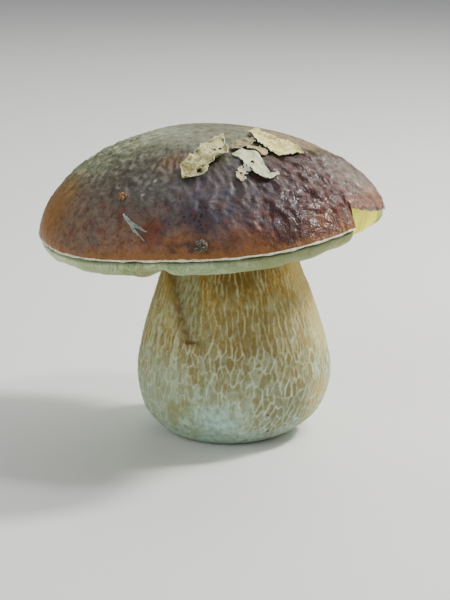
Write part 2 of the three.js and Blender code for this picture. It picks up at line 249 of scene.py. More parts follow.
def spun_chart(outline, steps=ROUND_STEPS):
    """A disc of rings spun about Z, given their radii, whose height at each ring is the ring's number."""
    chart = bmesh.new()
    corners = [chart.verts.new((radius, 0, ring)) for ring, radius in enumerate(outline)]
    for low, high in zip(corners, corners[1:]):
        chart.edges.new((low, high))
    bmesh.ops.spin(
        chart, geom=chart.verts[:] + chart.edges[:], axis=(0, 0, 1), cent=(0, 0, 0),
        angle=2 * math.pi, steps=steps, use_merge=True, use_duplicate=False,
    )
    bmesh.ops.remove_doubles(chart, verts=chart.verts[:], dist=1e-5)
    return chart


def chart_values(shape):
    """For each point of a spun chart: its ring's number, its angle and its distance from the axis."""
    points = np.array([v.co[:] for v in shape.verts])
    reach = np.hypot(points[:, 0], points[:, 1])
    return np.rint(points[:, 2]).astype(int), np.arctan2(points[:, 1], points[:, 0]), reach


def add_piece(name, shape, places):
    """A smooth mesh object from a bmesh whose points move to new places, in millimetres."""
    for vertex, place in zip(shape.verts, (places * MM).tolist()):
        vertex.co = place
    bmesh.ops.recalc_face_normals(shape, faces=shape.faces[:])
    mesh = bpy.data.meshes.new(name)
    shape.to_mesh(mesh)
    shape.free()
    mesh.shade_smooth()
    return add_object(name, mesh)


def push_out(piece, amounts):
    """Moves each point of a piece along its normal by an amount in millimetres."""
    mesh = piece.data
    places = np.empty(len(mesh.vertices) * 3, np.float32)
    normals = np.empty(len(mesh.vertices) * 3, np.float32)
    mesh.vertices.foreach_get("co", places)
    mesh.vertices.foreach_get("normal", normals)
    places += normals * np.repeat(amounts * MM, 3).astype(np.float32)
    mesh.vertices.foreach_set("co", places)
    mesh.update()


def note(piece, name, values):
    """Keeps a value for each point of a piece, for its material to read."""
    layer = piece.data.attributes.new(name, "FLOAT", "POINT")
    layer.data.foreach_set("value", np.asarray(values, np.float32))


def note_places(piece, name, points):
    """Keeps another place for each point of a piece, for a pattern that flows along its surface."""
    layer = piece.data.attributes.new(name, "FLOAT_VECTOR", "POINT")
    layer.data.foreach_set("vector", np.asarray(points, np.float32).ravel())


# Rings from the top of the dome to the rim, round the lip and back under to the middle
dome_shares = [math.sin(math.pi / 2 * ring / DOME_RINGS) for ring in range(DOME_RINGS + 1)]
lip_path = [(1.004, -0.25), (1.005, -0.5), (1.002, -0.8), (0.996, -1), (0.988, -0.95), (0.978, -0.7)]
under_shares = [0.965, 0.95, 0.93, 0.9, 0.85, 0.7, 0.4, 0]
cap_chart = spun_chart(dome_shares + [share for share, _ in lip_path] + under_shares)
ring, angle, share = chart_values(cap_chart)
is_dome = ring <= DOME_RINGS
lip_number = ring - DOME_RINGS - 1
is_lip = (lip_number >= 0) & (lip_number < len(lip_path))
lip_level = LIP * np.array([level for _, level in lip_path])[np.clip(lip_number, 0, len(lip_path) - 1)]

wall, across, bitten = bite_at(angle)
on_rim = CAP_WIDTH / 2 * columns(np.cos(angle), np.sin(angle), 0)
ragged = fine_noise(on_rim, 2.4, 3)
frayed = FRAY * fine_noise(on_rim, 3, 3) * (ring > DOME_RINGS - 6)
bite_roof = BITE_LEAST + BITE_RISE * np.exp(-np.clip(across + BITE_HALF_WIDTH, 0, 60) / BITE_FADE)
bite_roof = np.maximum(bite_roof + 0.2 * ragged + 3.2 * fine_noise(on_rim + 30, 4.8, 2), 0.3)
roof_share = 1 - ROOF_SLOPE * bite_roof - FRAY * ragged
dome_share = share * (1 - (1 - roof_share) * bitten)
outer = skin_place(np.where(is_dome, dome_share, 0), angle, frayed * (1 - bitten))
wavy = 0.66 + 0.3 * fine_noise(on_rim, 4, 3)
under_level = np.where(is_lip, lip_level * wavy, flesh_level(share) + GAP)
under = cap_place(share + frayed, angle, under_level)
inwards = np.clip((lip_number + 1) / (len(lip_path) + 2), 0, 1)
inset = wall - WALL_INSET
torn_share = np.where(is_lip, roof_share + (inset - roof_share) * inwards, share * inset)
torn_level = np.where(is_lip, bite_roof + inwards, flesh_level(torn_share) + GAP)
torn = cap_place(torn_share, angle, torn_level)
places = np.where(is_dome[:, None], outer, under + (torn - under) * bitten[:, None])
cap = add_piece("cap_skin", cap_chart, places)

# Leathery wrinkles on the left and wet crumples on the right, both running down from the top
turned = angle + 0.1 * fine_noise(places, 18) + 0.02 * fine_noise(places, 6)
shares = np.linspace(0, 1, 400)
rises = CAP_HEIGHT * (1 - shares ** 2) ** SHOULDER
way_down = np.concatenate([[0], np.cumsum(np.hypot(np.diff(shares) * CAP_WIDTH / 2, np.diff(rises)))])
reach = np.interp(share, shares, way_down) + 2 * fine_noise(places, 12)
flow = columns(FLOW_RADIUS * np.cos(turned), FLOW_RADIUS * np.sin(turned), reach)
leather = 2.4 * np.abs(fine_noise(flow * (1, 1, 0.42), 2.9)) - 0.7
leather += 1.1 * np.abs(fine_noise(flow * (1, 1, 0.5) + 40, 1.6))
crumple = 2.4 * np.abs(fine_noise(flow * (1, 1, 0.5) + 90, 3.8)) - 1
crumple += 1.3 * np.abs(fine_noise(flow * (1, 1, 0.65) + 20, 1.9))
swell = fine_noise(flow * (1, 1, 0.6), 8)
ridged = 0.6 - 2.2 * np.abs(fine_noise(flow * (1, 1, 0.5) + 70, 4.5))
on_skin = np.maximum(eased((0.99 - share) / 0.06), 0.7 * bitten) * is_dome
on_left = 0.12 + bell(angle, LEATHER_SIDE, 1) + 0.6 * bell(angle, BACK_SIDE, 0.9)
on_left *= eased((share - 0.2) / 0.4) * (0.3 + 0.7 * eased((0.92 - share) / 0.14))
on_right = (0.05 + bell(angle, WET_SIDE, 0.8)) * eased((share - 0.42) / 0.25)
relief = LEATHER_HEIGHT * leather * on_left
relief += (CRUMPLE_HEIGHT * crumple + FOLD_HEIGHT * (ridged + swell)) * on_right
rolled = bitten * np.exp(-(((share - 0.985) / 0.03) ** 2)) * (0.7 + fine_noise(on_rim + 60, 2.6, 2))
for x, y, radius, depth in DIMPLES:
    off = np.hypot(places[:, 0] - x, (places[:, 1] - y) * 1.4)
    relief -= depth * np.exp(-((off / radius) ** 2))
push_out(cap, relief * on_skin + ROLL_HEIGHT * rolled * is_dome)
note(cap, "share", share)
folded = 0.3 * leather * on_left + (0.35 * crumple + 0.3 * ridged) * on_right
note(cap, "wrinkle", np.clip(0.5 + folded, 0, 1))
note_places(cap, "flow", flow * MM)
note(cap, "over_rim", np.where(is_dome, dome_level(np.minimum(share, 1), angle), -1))
note(cap, "wet", eased(on_right))
note(cap, "torn", bitten * ~is_dome + bitten * eased((share - 0.93) / 0.05))


def feed(tree, socket, value):
    """Gives a socket a plain value, or links another node's output to it."""
    if isinstance(value, bpy.types.NodeSocket):
        tree.links.new(value, socket)
    else:
        socket.default_value = value


def add_node(tree, kind, settings=(), **inputs):
    """A node with its settings, and its inputs by name."""
    made = tree.nodes.new(kind)
    for name, value in dict(settings).items():
        setattr(made, name, value)
    for name, value in inputs.items():
        feed(tree, made.inputs[name.replace("_", " ")], value)
    return made


def colour(red, green, blue):
    return (red, green, blue, 1)


def mixed(tree, factor, first, second):
    """One colour laid over another by a factor."""
    made = add_node(tree, "ShaderNodeMix", {"data_type": "RGBA"})
    for number, value in ((0, factor), (6, first), (7, second)):
        feed(tree, made.inputs[number], value)
    return made.outputs[2]


def ranged(tree, value, low, high, to_low=0.0, to_high=1.0):
    """A value eased from one range to another."""
    made = add_node(
        tree, "ShaderNodeMapRange", {"interpolation_type": "SMOOTHSTEP"},
        Value=value, From_Min=low, From_Max=high, To_Min=to_low, To_Max=to_high,
    )
    return made.outputs[0]


def computed(tree, operation, first, second=0.0):
    made = add_node(tree, "ShaderNodeMath", {"operation": operation})
    feed(tree, made.inputs[0], first)
    feed(tree, made.inputs[1], second)
    return made.outputs[0]


def times(tree, first, second):
    return computed(tree, "MULTIPLY", first, second)


def ramp(tree, factor, stops):
    """A colour that changes along a factor from 0 to 1, through colours at given places."""
    made = add_node(tree, "ShaderNodeValToRGB", Fac=factor)
    while len(made.color_ramp.elements) < len(stops):
        made.color_ramp.elements.new(1)
    for element, (at, hue) in zip(made.color_ramp.elements, stops):
        element.position = at
        element.color = colour(*hue)
    return made.outputs["Color"]


def noted(tree, name):
    return add_node(tree, "ShaderNodeAttribute", {"attribute_name": name}).outputs["Fac"]


def speckled(tree, vector, size, detail=2.0, roughness=0.5):
    """Noise from 0 to 1 with features of a size in millimetres."""
    made = add_node(tree, "ShaderNodeTexNoise", Vector=vector, Detail=detail, Roughness=roughness)
    made.inputs["Scale"].default_value = 1 / (size * MM)
    return made.outputs["Fac"]


def stretched(tree, vector, squash):
    """Coordinates squashed in height, which draw a pattern out into upright streaks."""
    return add_node(tree, "ShaderNodeMapping", Vector=vector, Scale=(1, 1, squash)).outputs[0]


def painted(tree, base, *coats):
    """A colour with others laid over it, each given as its mask and its colour."""
    for mask, over in coats:
        base = mixed(tree, mask, base, over if isinstance(over, bpy.types.NodeSocket) else colour(*over))
    return base


def bumped(tree, height, strength, depth, under=None, invert=False):
    """A normal that follows a height of a depth in millimetres, laid over another normal."""
    made = add_node(tree, "ShaderNodeBump", {"invert": invert}, Height=height, Strength=strength)
    made.inputs["Distance"].default_value = depth * MM
    if under is not None:
        tree.links.new(under, made.inputs["Normal"])
    return made.outputs[0]


def start_material(name):
    """A new material with its node tree, its shader and the object's own coordinates."""
    material = bpy.data.materials.new(name)
    material.use_nodes = True
    tree = material.node_tree
    place = tree.nodes.new("ShaderNodeTexCoord").outputs["Object"]
    return material, tree, tree.nodes["Principled BSDF"], place


def build_patch_group():
    """A soft spot with a ragged edge round a point."""
    tree = bpy.data.node_groups.new("soft_patch", "ShaderNodeTree")
    tree.interface.new_socket("Vector", in_out="INPUT", socket_type="NodeSocketVector")
    tree.interface.new_socket("Centre", in_out="INPUT", socket_type="NodeSocketVector")
    for name in ("Radius", "Softness", "Ragged"):
        tree.interface.new_socket(name, in_out="INPUT", socket_type="NodeSocketFloat")
    tree.interface.new_socket("Mask", in_out="OUTPUT", socket_type="NodeSocketFloat")
    given = tree.nodes.new("NodeGroupInput").outputs
    away = add_node(tree, "ShaderNodeVectorMath", {"operation": "DISTANCE"})
    tree.links.new(given["Vector"], away.inputs[0])
    tree.links.new(given["Centre"], away.inputs[1])
    grain = speckled(tree, given["Vector"], 4, 4, 0.65)
    wander = times(tree, computed(tree, "SUBTRACT", grain, 0.5), given["Ragged"])
    moved = computed(tree, "ADD", away.outputs["Value"], wander)
    inner = computed(tree, "SUBTRACT", given["Radius"], given["Softness"])
    outer = computed(tree, "ADD", given["Radius"], given["Softness"])
    result = computed(tree, "SUBTRACT", 1.0, ranged(tree, moved, inner, outer))
    tree.links.new(result, tree.nodes.new("NodeGroupOutput").inputs["Mask"])
    return tree


soft_patch = build_patch_group()


def patch(tree, vector, centre, radius, softness, ragged=2.0):
    """The mask of a soft patch, with its centre and sizes in millimetres."""
    made = add_node(tree, "ShaderNodeGroup", {"node_tree": soft_patch}, Vector=vector)
    made.inputs["Centre"].default_value = [part * MM for part in centre]
    made.inputs["Radius"].default_value = radius * MM
    made.inputs["Softness"].default_value = softness * MM
    made.inputs["Ragged"].default_value = ragged * MM
    return made.outputs["Mask"]


def patched(tree, base, vector, patches):
    """A colour with soft patches over it, each by centre, radius, softness, strength and colour."""
    for centre, radius, softness, strength, over in patches:
        mask = times(tree, patch(tree, vector, centre, radius, softness, ragged=radius), strength)
        base = painted(tree, base, (mask, over))
    return base


CAP_PATCHES = [
    ((-42, 2, 106), 26, 13, 0.9, (0.27, 0.29, 0.18)),
    ((-50, -36, 88), 18, 10, 0.6, (0.155, 0.118, 0.088)),
    ((-26, -28, 106), 15, 10, 0.6, (0.07, 0.068, 0.045)),
    ((-18, -34, 107.5), 7, 4, 0.75, (0.14, 0.06, 0.012)),
    ((-4, 6, 115), 15, 9, 0.5, (0.09, 0.09, 0.045)),
    ((-22, -44, 98), 14, 9, 0.7, (0.085, 0.083, 0.076)),
    ((-3, -51, 98), 14, 8, 0.75, (0.066, 0.05, 0.06)),
    ((7, -47, 99), 8, 5, 0.6, (0.058, 0.066, 0.055)),
    ((-8.6, -55, 94.5), 7, 3.5, 0.6, (0.026, 0.018, 0.026)),
    ((-26, -56, 88), 4.5, 3, 0.85, (0.08, 0.012, 0.006)),
    ((11, -56.5, 89), 5.5, 3, 0.75, (0.19, 0.06, 0.016)),
    ((30, -40, 97), 22, 9, 0.65, (0.065, 0.014, 0.013)),
    ((17, -47, 94), 15, 8, 0.85, (0.026, 0.007, 0.008)),
    ((47, -10, 99), 17, 9, 0.75, (0.17, 0.14, 0.1)),
    ((56, -15, 88), 9, 5, 0.55, (0.36, 0.19, 0.05)),
    ((22, 4, 112), 16, 8, 0.8, (0.2, 0.14, 0.05)),
    ((-18.9, -52.5, 94.8), 0.5, 0.2, 1, (0.8, 0.78, 0.7)),
    ((-29.5, -44, 99), 0.6, 0.4, 0.5, (0.4, 0.36, 0.24)),
    ((-25.5, -39.3, 103.3), 0.7, 0.4, 0.5, (0.42, 0.4, 0.24)),
    ((-19.5, -41, 103.5), 1, 0.5, 0.8, (0.09, 0.02, 0.01)),
]
MARGIN_PATCHES = [
    ((-62, -14, 84), 15, 11, 0.75, (0.28, 0.11, 0.003)),
    ((-30, -54, 84), 10, 5, 0.2, (0.24, 0.08, 0.02)),
    ((6, -62, 83), 9, 5, 0.25, (0.26, 0.1, 0.03)),
    ((40, -48, 87), 11, 6, 0.6, (0.17, 0.055, 0.01)),
]
CAP_BANDS = [
    (0, (0.12, 0.117, 0.055)), (0.36, (0.11, 0.107, 0.06)), (0.62, (0.062, 0.05, 0.042)),
    (0.8, (0.098, 0.07, 0.056)), (0.93, (0.155, 0.085, 0.06)), (1, (0.2, 0.08, 0.024)),
]
skin, tree, shader, place = start_material("cap_skin")
flowing = add_node(tree, "ShaderNodeAttribute", {"attribute_name": "flow"}).outputs["Vector"]
wet, share_out, wrinkle = noted(tree, "wet"), noted(tree, "share"), noted(tree, "wrinkle")
mottle = speckled(tree, place, 7, 4, 0.65)
blotch = speckled(tree, place, 2.6, 4, 0.6)
specks = speckled(tree, place, 1, 3, 0.6)
drawn = speckled(tree, stretched(tree, flowing, 0.35), 1.6, 4, 0.6)
band_place = computed(tree, "ADD", share_out, ranged(tree, mottle, 0.3, 0.7, -0.05, 0.05))
base = patched(tree, ramp(tree, band_place, CAP_BANDS), place, CAP_PATCHES)
dots = add_node(tree, "ShaderNodeTexVoronoi", Vector=place, Scale=1 / (1.5 * MM)).outputs["Distance"]
pitted = patch(tree, place, (-8.6, -54, 95), radius=7.5, softness=3, ragged=7)
red = ranged(tree, speckled(tree, place, 4.4, 3, 0.6), 0.5, 0.68)
blue = ranged(tree, speckled(tree, place, 5.2, 3, 0.6), 0.5, 0.66)
blue_zone = patch(tree, place, (-2, -50, 98), radius=22, softness=10, ragged=8)
base = painted(
    tree, base,
    (times(tree, ranged(tree, dots, 0.4, 0.24), pitted), (0.012, 0.008, 0.01)),
    (times(tree, red, ranged(tree, share_out, 0.74, 0.92, 0, 0.6)), (0.13, 0.028, 0.018)),
    (times(tree, blue, times(tree, blue_zone, 0.6)), (0.05, 0.05, 0.085)),
    (ranged(tree, blotch, 0.52, 0.7, 0, 0.45), (0.04, 0.018, 0.012)),
)
dapple = times(
    tree, ranged(tree, blotch, 0.3, 0.66, 1.3, 0.9), ranged(tree, specks, 0.34, 0.62, 1.1, 0.9),
)
base = add_node(tree, "ShaderNodeHueSaturation", Value=dapple, Color=base).outputs[0]
down = ranged(tree, share_out, 0.25, 0.65, 0.1, 1)
base = painted(tree, base, (times(tree, ranged(tree, drawn, 0.52, 0.7, 0, 0.3), down), (0.05, 0.04, 0.03)))
base = patched(tree, base, place, MARGIN_PATCHES)
# Wrinkle valleys turn dark brown, and deep red on the wet side: partly the skin's own red in its folds,
# partly painted shade in the creases
valley_red_and_shade = mixed(tree, wet, colour(0.035, 0.028, 0.018), colour(0.06, 0.007, 0.006))
base = painted(
    tree, base,
    (ranged(tree, specks, 0.57, 0.7, 0, 0.6), (0.03, 0.012, 0.008)),
    (ranged(tree, wrinkle, 0.5, 0.15, 0, 0.75), valley_red_and_shade),
)
smooth = patch(tree, place, (-2, -44, 100), radius=24, softness=12, ragged=8)
# painted highlight: the wrinkle crests lightened, less in the smooth middle of the front
crest_highlight = ranged(tree, wrinkle, 0.5, 0.95, 1, ranged(tree, smooth, 0, 1, 1.6, 1.1))
base = add_node(tree, "ShaderNodeHueSaturation", Value=crest_highlight, Color=base).outputs[0]
over_rim = noted(tree, "over_rim")
edge_height = computed(tree, "ADD", over_rim, ranged(tree, mottle, 0.3, 0.7, -1.5, 1.5))
white_edge = computed(tree, "ADD", over_rim, ranged(tree, blotch, 0.3, 0.7, -0.3, 0.3))
white = mixed(tree, ranged(tree, specks, 0.35, 0.65), colour(0.9, 0.88, 0.72), colour(0.6, 0.54, 0.36))
torn_mask = times(tree, noted(tree, "torn"), ranged(tree, specks, 0.3, 0.5, 0.6, 1))
torn_brown = mixed(
    tree, ranged(tree, specks, 0.45, 0.68), colour(0.09, 0.016, 0.003), colour(0.36, 0.12, 0.018),
)
base = painted(
    tree, base,
    (ranged(tree, edge_height, 3.2, 0.6, 0, 0.6), (0.28, 0.12, 0.03)),
    (ranged(tree, white_edge, 0.05, -0.2), white),
    (torn_mask, torn_brown),
)
tree.links.new(base, shader.inputs["Base Color"])
matt = ranged(tree, blotch, 0.35, 0.65, 0.34, 0.52)
tree.links.new(computed(tree, "ADD", matt, ranged(tree, wet, 0, 1, 0, 0.25)), shader.inputs["Roughness"])
shader.inputs["Specular IOR Level"].default_value = 0.25
soaked = patch(tree, place, (46, -34, 93), radius=30, softness=12, ragged=9)
drops = times(tree, ranged(tree, wet, 0, 1, 0.04, 1), ranged(tree, blotch, 0.45, 0.54))
wet_coat = times(tree, drops, ranged(tree, soaked, 0, 1, 0.12, 1))
wet_coat = computed(tree, "MAXIMUM", wet_coat, times(tree, torn_mask, 0.8))
tree.links.new(wet_coat, shader.inputs["Coat Weight"])
shader.inputs["Coat Roughness"].default_value = 0.06
crinkled = times(tree, ranged(tree, wet, 0.05, 1, 0.28, 1), down)
crinkled = times(tree, crinkled, ranged(tree, smooth, 0, 1, 1, 0.55))
creases = speckled(tree, stretched(tree, flowing, 0.6), 2.2, 4, 0.58)
crinkle = bumped(tree, creases, crinkled, 1.8)
grain = bumped(tree, specks, ranged(tree, wet, 0, 1, 0.25, 0.7), 0.35, crinkle)
tree.links.new(grain, shader.inputs["Normal"])
tree.links.new(grain, shader.inputs["Coat Normal"])
cap.data.materials.append(skin)
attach(cap, "root")
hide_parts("cap")


# The tube layer: thousands of fine tubes packed side by side, which fill the cap's underside and end in
# pores. Its rounded outer edge shows as a greenish band under the white lip, and where the margin is
# bitten away the torn tubes stand open as a yellow wall.
TUBE_DROP = 7
TUBE_EDGE = 10
TUBE_BULGE = 1.2
CREASE_ANGLE = math.radians(-107)
CREASE_DEPTH = 3
TUBE_WEAR = 1.2
NECK_RADIUS = 23.9
NECK_OFFSET = 7
HOLLOW_HEIGHT = 4
HOLLOW_START = 24
HOLLOW_WIDTH = 5
OUTER_SHARE = 0.988
TORN_SHARE = 0.93
BAND_RADIUS = 60
EDGE_RINGS = 46
PORE_RINGS = 70


def pore_level(share, angle):
    """Height of the tubes' mouths, which draw up round the stem, at the crease and behind the bite."""
    from_stem = np.maximum(0, share * rim_radius(angle) - HOLLOW_START) / HOLLOW_WIDTH
    hollow = HOLLOW_HEIGHT * np.exp(-from_stem * from_stem)
    crease = CREASE_DEPTH * share ** 3 * bell(angle, CREASE_ANGLE, 0.06)
    fold = 0.8 * share ** 3 * bell(angle, CREASE_ANGLE - 0.14, 0.08)
    worn = TUBE_WEAR * share ** 4 * bell(angle, BITE_ANGLE, 0.45)
    bulge = TUBE_BULGE * np.sin(math.pi * np.minimum(1, share))
    return hollow + crease + worn - fold - bulge - TUBE_DROP


edge_share = 1 - TUBE_EDGE / (CAP_WIDTH / 2)
over_shares = [0.966, 0.944, 0.92, 0.89, 0.8, 0.65, 0.45]
tube_rings = PORE_RINGS + EDGE_RINGS + len(over_shares)
tube_chart = spun_chart([0.3 + 0.7 * ring / tube_rings for ring in range(tube_rings)])
ring, angle, _ = chart_values(tube_chart)
rims = [
    edge for edge in tube_chart.edges
    if {round(v.co.z) for v in edge.verts} in ({0}, {tube_rings - 1})
]
bmesh.ops.bridge_loops(tube_chart, edges=rims)

neck = NECK_OFFSET * np.cos(angle) + np.sqrt(NECK_RADIUS ** 2 - (NECK_OFFSET * np.sin(angle)) ** 2)
neck_share = neck / rim_radius(angle)
is_pore = ring < PORE_RINGS
is_edge = (ring >= PORE_RINGS) & (ring < PORE_RINGS + EDGE_RINGS)
over_number = np.clip(ring - PORE_RINGS - EDGE_RINGS, 0, len(over_shares) - 1)
turn = np.clip((ring - PORE_RINGS) / (EDGE_RINGS - 1), 0, 1) * math.pi / 2
pinch = 0.02 * bell(angle, CREASE_ANGLE, 0.05)
wall, across, bitten = bite_at(angle)
share = np.where(is_pore, neck_share + (edge_share - neck_share) * ring / PORE_RINGS, 0)
share = np.where(is_edge, edge_share + (OUTER_SHARE - edge_share) * np.sin(turn) - pinch, share)
over_share = np.array(over_shares)[over_number]
is_over = ring >= PORE_RINGS + EDGE_RINGS
share = np.where(is_over, np.maximum(over_share, neck_share), share)
wall_share = wall * (TORN_SHARE + (1 - TORN_SHARE) * np.sin(turn) ** 0.5)
torn_share = np.where(is_edge, wall_share, share * wall / OUTER_SHARE)
share = share + (torn_share - share) * bitten
upper = -LIP - GAP
level = pore_level(share, angle)
level = np.where(is_edge, upper + (pore_level(edge_share, angle) - upper) * np.cos(turn), level)
torn_top = flesh_level(wall) - GAP
torn_level = torn_top + (pore_level(wall * TORN_SHARE, angle) - torn_top) * np.cos(turn) ** 1.3
level = np.where(is_edge, level + (torn_level - level) * bitten, level)
over_level = np.where(share > 0.96, upper, flesh_level(share) - GAP)
level = np.where(is_over, over_level, level)
places = cap_place(share, angle, level)
tubes = add_piece("tubes", tube_chart, places)
on_band = is_edge * np.sin(turn) ** 0.5 * np.cos(turn) ** 0.25 * (1 - bitten)
around = columns(BAND_RADIUS * np.cos(angle), BAND_RADIUS * np.sin(angle), level * 0.5)
swell = 0.75 * fine_noise(around, 7, 2) + 0.22 * fine_noise(around, 1.6, 2)
streaks = fine_noise(around * (1, 1, 0.16), 1.1, 2)
push_out(tubes, swell * on_band + 0.35 * streaks * bitten * is_edge)
note(tubes, "band", is_edge * (1 - bitten))
note(tubes, "torn", bitten * is_edge)
note(tubes, "depth", np.where(is_edge, np.cos(turn), 1.0))
note(tubes, "streak", 0.5 + 0.5 * streaks)

spongy, tree, shader, place = start_material("tubes")
hair = speckled(tree, stretched(tree, place, 0.2), 0.8, 3, 0.6)
mottle = speckled(tree, place, 8, 3, 0.6)
base = mixed(tree, ranged(tree, mottle, 0.35, 0.65), colour(0.25, 0.31, 0.12), colour(0.42, 0.5, 0.26))
base = painted(
    tree, base,
    (ranged(tree, hair, 0.48, 0.64, 0, 0.8), (0.13, 0.17, 0.05)),
    (ranged(tree, hair, 0.45, 0.3, 0, 0.6), (0.56, 0.64, 0.4)),
)
base = patched(tree, base, place, [
    ((-52, -24, 73), 20, 14, 0.8, (0.6, 0.7, 0.4)),
    ((-4, -58, 76), 16, 10, 0.4, (0.3, 0.4, 0.24)),
    ((26, -52, 79), 24, 12, 0.75, (0.17, 0.2, 0.055)),
    ((48, -34, 83), 18, 12, 0.7, (0.22, 0.21, 0.035)),
])
pores = add_node(
    tree, "ShaderNodeTexVoronoi", {"feature": "DISTANCE_TO_EDGE"}, Vector=place, Scale=1 / (0.9 * MM),
)
outside = computed(tree, "MAXIMUM", noted(tree, "band"), noted(tree, "torn"))
underneath = computed(tree, "SUBTRACT", 1.0, outside)
pore_dark = times(tree, ranged(tree, pores.outputs[0], 0.12, 0.3), underneath)
yellow_streaks = ranged(tree, noted(tree, "streak"), 0.3, 0.6)
yellow = mixed(tree, yellow_streaks, colour(0.86, 0.74, 0), colour(1, 1, 0.06))
base = painted(
    tree, base,
    # painted shadow: the top of the band darkened under the white lip
    (ranged(tree, noted(tree, "depth"), 0.18, 0.05, 0, 0.7), (0.1, 0.13, 0.06)),
    (times(tree, pore_dark, 0.5), (0.3, 0.28, 0.12)),
    (noted(tree, "torn"), yellow),
)
base = patched(tree, base, place, [((-28, -56, 71), 4, 3, 0.5, (0.3, 0.2, 0.1))])
tree.links.new(base, shader.inputs["Base Color"])
shader.inputs["Roughness"].default_value = 0.55
shader.inputs["Subsurface Weight"].default_value = 0.15
shader.inputs["Subsurface Radius"].default_value = (1.2, 1, 0.6)
shader.inputs["Subsurface Scale"].default_value = 1 * MM
pore_bump = bumped(tree, pore_dark, 0.6, 0.4, invert=True)
tree.links.new(bumped(tree, hair, 0.35, 0.25, pore_bump), shader.inputs["Normal"])
tubes.data.materials.append(spongy)
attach(tubes, "root")
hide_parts("tube_layer")


# The stem: a barrel of firm flesh, tan under a raised white net. The net's meshes are small and round at
# the foot and drawn out into long streaks under the cap. The foot is cut off flat.
STEM_TOP = RIM_HEIGHT + TUBE_RISE
STEM_OUTLINE = np.array([
    (19.5, 0), (23.5, 0.9), (28.5, 4.8), (33.4, 11), (36, 22.5),
    (34.4, 36), (30.4, 50.5), (26, 63), (23.6, 73), (23.4, STEM_TOP),
])
STEM_BOW = 2.4
NET_COLUMNS = 92
NET_FIRST_ROW = 2.5
NET_ROW_GROWTH = 0.075
NET_HEIGHT = 0.42
NET_WIDTH = 0.3
NET_JITTER = 0.8
PEEL_LEFT = -21
PEEL_RIGHT = -9.8
PEEL_FOOT = 41
PEEL_DEPTH = 0.35
STEM_ROUND = 36
SIDE_RINGS = 185
FOOT_RADII = [0, 6, 11, 15, 17.5]


def along_curve(rows, t):
    """Points at shares t of the way along a smooth curve through rows of numbers."""
    last = len(rows) - 1
    s = np.clip(t, 0, 1) * last
    i = np.minimum(s.astype(int), last - 1)
    f = (s - i)[:, None]
    p0, p1 = rows[np.maximum(i - 1, 0)], rows[i]
    p2, p3 = rows[i + 1], rows[np.minimum(i + 2, last)]
    v0, v1 = (p2 - p0) / 2, (p3 - p1) / 2
    return (2 * p1 - 2 * p2 + v0 + v1) * f ** 3 + (3 * p2 - 3 * p1 - 2 * v0 - v1) * f ** 2 + v0 * f + p1


def outline_at(share):
    """The stem's radius and height at a share of the length of its smooth outline."""
    curve = along_curve(STEM_OUTLINE, np.linspace(0, 1, 3000))
    steps = np.hypot(*np.diff(curve, axis=0).T)
    length = np.concatenate([[0], np.cumsum(steps)])
    along = share * length[-1]
    return np.interp(along, length, curve[:, 0]), np.interp(along, length, curve[:, 1]), along


def stem_place(radius, angle, height):
    lump = 0.7 * lump_noise(2.2 * np.cos(angle) + height / 25, 2.2 * np.sin(angle) + 9)
    radius = radius + lump * np.minimum(1, height / 9)
    bow = STEM_BOW * np.sin(math.pi * np.clip(height / STEM_TOP, 0, 1) ** 0.7)
    x = bow + radius * np.cos(angle)
    lean = x * CAP_LEAN * (height / STEM_TOP) ** 6
    return columns(x, radius * np.sin(angle), height + lean)


def picked(rows, number):
    """For each point, its value in the row of that number."""
    return np.take_along_axis(rows, number[None], 0)[0]


def net_at(angle, along, radius):
    """Distance in millimetres to the net's nearest line, its strength, and the mesh's own number."""
    row_size = NET_FIRST_ROW + NET_ROW_GROWTH * along
    column_size = 2 * math.pi * radius / NET_COLUMNS
    u = angle / (2 * math.pi) * NET_COLUMNS
    v = np.log(1 + NET_ROW_GROWTH * along / NET_FIRST_ROW) / NET_ROW_GROWTH
    seeds = []
    for dj in range(-2, 3):
        for di in range(-2, 3):
            j = np.floor(v) + dj
            i = np.floor(u) + di
            key = np.mod(i, NET_COLUMNS)
            seed_u = i + 0.5 * np.mod(j, 2) + NET_JITTER * (hash_value(key, j + 40) - 0.5)
            seed_v = j + NET_JITTER * (hash_value(key + 200, j + 40) - 0.5)
            seeds.append((seed_u - u, seed_v - v, key + 97 * j))
    du, dv, number = np.array(seeds).transpose(1, 0, 2)
    away = du ** 2 + dv ** 2
    nearest = np.argmin(away, axis=0)
    own_number = picked(number, nearest)
    apart_u, apart_v = du - picked(du, nearest), dv - picked(dv, nearest)
    gap_length = np.maximum(apart_u ** 2 + apart_v ** 2, 1e-9)
    shrink = np.sqrt((apart_u / column_size) ** 2 + (apart_v / row_size) ** 2)
    distance = (away - picked(away, nearest)) / 2 / np.maximum(shrink, 1e-9)
    distance = np.where(gap_length < 1e-6, 99, distance)
    sideways = apart_u ** 2 / gap_length
    up = eased((along - 38) / 35)
    pair = hash_value(number + own_number, np.abs(number - own_number))
    strength = (1 - up * (1 - sideways)) * np.where(pair < 0.12, 0.25, 0.5 + 0.5 * pair)
    line = strength * np.exp(-((distance / NET_WIDTH) ** 2))
    best = np.argmax(line, axis=0)
    return picked(distance, best), picked(strength, best), hash_value(own_number, 3)


